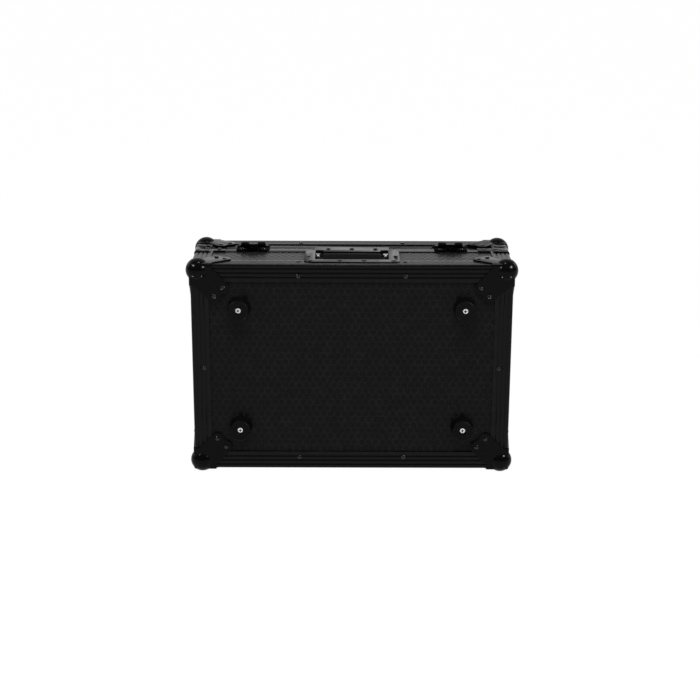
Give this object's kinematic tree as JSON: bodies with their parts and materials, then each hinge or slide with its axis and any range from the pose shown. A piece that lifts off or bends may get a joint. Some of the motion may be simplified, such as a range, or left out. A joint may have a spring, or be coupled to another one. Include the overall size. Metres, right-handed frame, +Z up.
{
  "type": "dj mixer flight case",
  "caption": "Black hard case for a mixer, with a hinged lid, ribbed metal edges, ball corners, recessed handle, butterfly latches and rubber feet.",
  "frame": {"origin": "centre of the footprint on the ground, with the closed case standing on its hinge side on the four rear ball corners", "axes": "+X along the case, +Y from the underside with the rubber feet to the top of the lid, +Z up to the side with the handle and the latches"},
  "size_m": [0.546, 0.2124, 0.3717],
  "materials": {
    "laminated_panel": "plywood with a matt black laminate embossed with small hexagons",
    "black_aluminium": "satin black anodised ribbed extrusion",
    "black_steel": "semi-gloss black coated pressed steel",
    "latch_black": "glossy black coated steel",
    "black_rivet": "black rivet head",
    "rubber_foot": "matt black rubber",
    "rubber_grip": "satin black moulded rubber",
    "zinc_steel": "bright zinc-plated steel",
    "foam": "charcoal open-cell foam"
  },
  "bodies": {
    "base": {"base_ball_corner_front_left": "black_steel", "base_ball_corner_front_right": "black_steel", "base_ball_corner_rear_left": "black_steel", "base_ball_corner_rear_right": "black_steel", "base_bottom_edges": "black_aluminium", "base_bottom_panel": "laminated_panel", "base_corner_braces": "black_steel", "base_corner_edges": "black_aluminium", "base_floor_foam": "foam", "base_front_panel": "laminated_panel", "base_left_panel": "laminated_panel", "base_rear_panel": "laminated_panel", "base_right_panel": "laminated_panel", "base_rims": "black_aluminium", "base_rivets": "black_rivet", "base_wall_foam": "foam", "foot_front_left": "rubber_foot", "foot_front_right": "rubber_foot", "foot_rear_left": "rubber_foot", "foot_rear_right": "rubber_foot", "foot_screws": "zinc_steel", "foot_washers": "zinc_steel", "handle_dish": "black_steel", "handle_pins": "black_steel", "handle_springs": "black_steel", "hinge_base_leaf_left": "black_steel", "hinge_base_leaf_right": "black_steel", "hinge_pin_left": "zinc_steel", "hinge_pin_right": "zinc_steel", "latch_plate_left": "latch_black", "latch_plate_right": "latch_black"},
    "lid": {"hinge_lid_leaf_left": "black_steel", "hinge_lid_leaf_right": "black_steel", "latch_keeper_left": "latch_black", "latch_keeper_right": "latch_black", "lid_ball_corner_front_left": "black_steel", "lid_ball_corner_front_right": "black_steel", "lid_ball_corner_rear_left": "black_steel", "lid_ball_corner_rear_right": "black_steel", "lid_corner_braces": "black_steel", "lid_corner_edges": "black_aluminium", "lid_foam": "foam", "lid_front_panel": "laminated_panel", "lid_left_panel": "laminated_panel", "lid_rear_panel": "laminated_panel", "lid_right_panel": "laminated_panel", "lid_rims": "black_aluminium", "lid_rivets": "black_rivet", "lid_top_edges": "black_aluminium", "lid_top_panel": "laminated_panel"},
    "handle": {"handle_bar": "zinc_steel", "handle_grip": "rubber_grip"},
    "latch_turn_left": {"latch_spindle_left": "latch_black"},
    "latch_wing_left": {"latch_wing_left": "latch_black"},
    "latch_hook_left": {"latch_hook_left": "latch_black"},
    "latch_turn_right": {"latch_spindle_right": "latch_black"},
    "latch_wing_right": {"latch_wing_right": "latch_black"},
    "latch_hook_right": {"latch_hook_right": "latch_black"}
  },
  "joints": [
    {"name": "lid_hinge", "type": "hinge", "parent": "base", "child": "lid", "pos_m": [0, 0.04, 0.005], "axis": [-1, 0, 0], "range_deg": [0, 95]},
    {"name": "handle_lift", "type": "hinge", "parent": "base", "child": "handle", "pos_m": [0, 0.0098, 0.356], "axis": [-1, 0, 0], "range_deg": [0, 90], "stiffness_Nm_per_rad": 0.15, "springref_deg": -20.05},
    {"name": "latch_turn_left", "type": "hinge", "parent": "base", "child": "latch_turn_left", "pos_m": [-0.1685, 0.0278, 0.3652], "axis": [0, 0, 1], "range_deg": [0, 180]},
    {"name": "latch_flip_left", "type": "hinge", "parent": "latch_turn_left", "child": "latch_wing_left", "pos_m": [-0.1685, 0.0278, 0.3691], "axis": [1, 0, 0], "range_deg": [0, 90]},
    {"name": "latch_slide_left", "type": "slide", "parent": "base", "child": "latch_hook_left", "axis": [0, 1, 0], "range_m": [0, 0.008]},
    {"name": "latch_turn_right", "type": "hinge", "parent": "base", "child": "latch_turn_right", "pos_m": [0.1685, 0.0278, 0.3652], "axis": [0, 0, 1], "range_deg": [0, 180]},
    {"name": "latch_flip_right", "type": "hinge", "parent": "latch_turn_right", "child": "latch_wing_right", "pos_m": [0.1685, 0.0278, 0.3691], "axis": [1, 0, 0], "range_deg": [0, 90]},
    {"name": "latch_slide_right", "type": "slide", "parent": "base", "child": "latch_hook_right", "axis": [0, 1, 0], "range_m": [0, 0.008]}
  ],
  "couplings": [
    {"joint": "latch_slide_left", "follows": "latch_turn_left", "m_per_rad": 0.002546},
    {"joint": "latch_slide_right", "follows": "latch_turn_right", "m_per_rad": 0.002546}
  ]
}
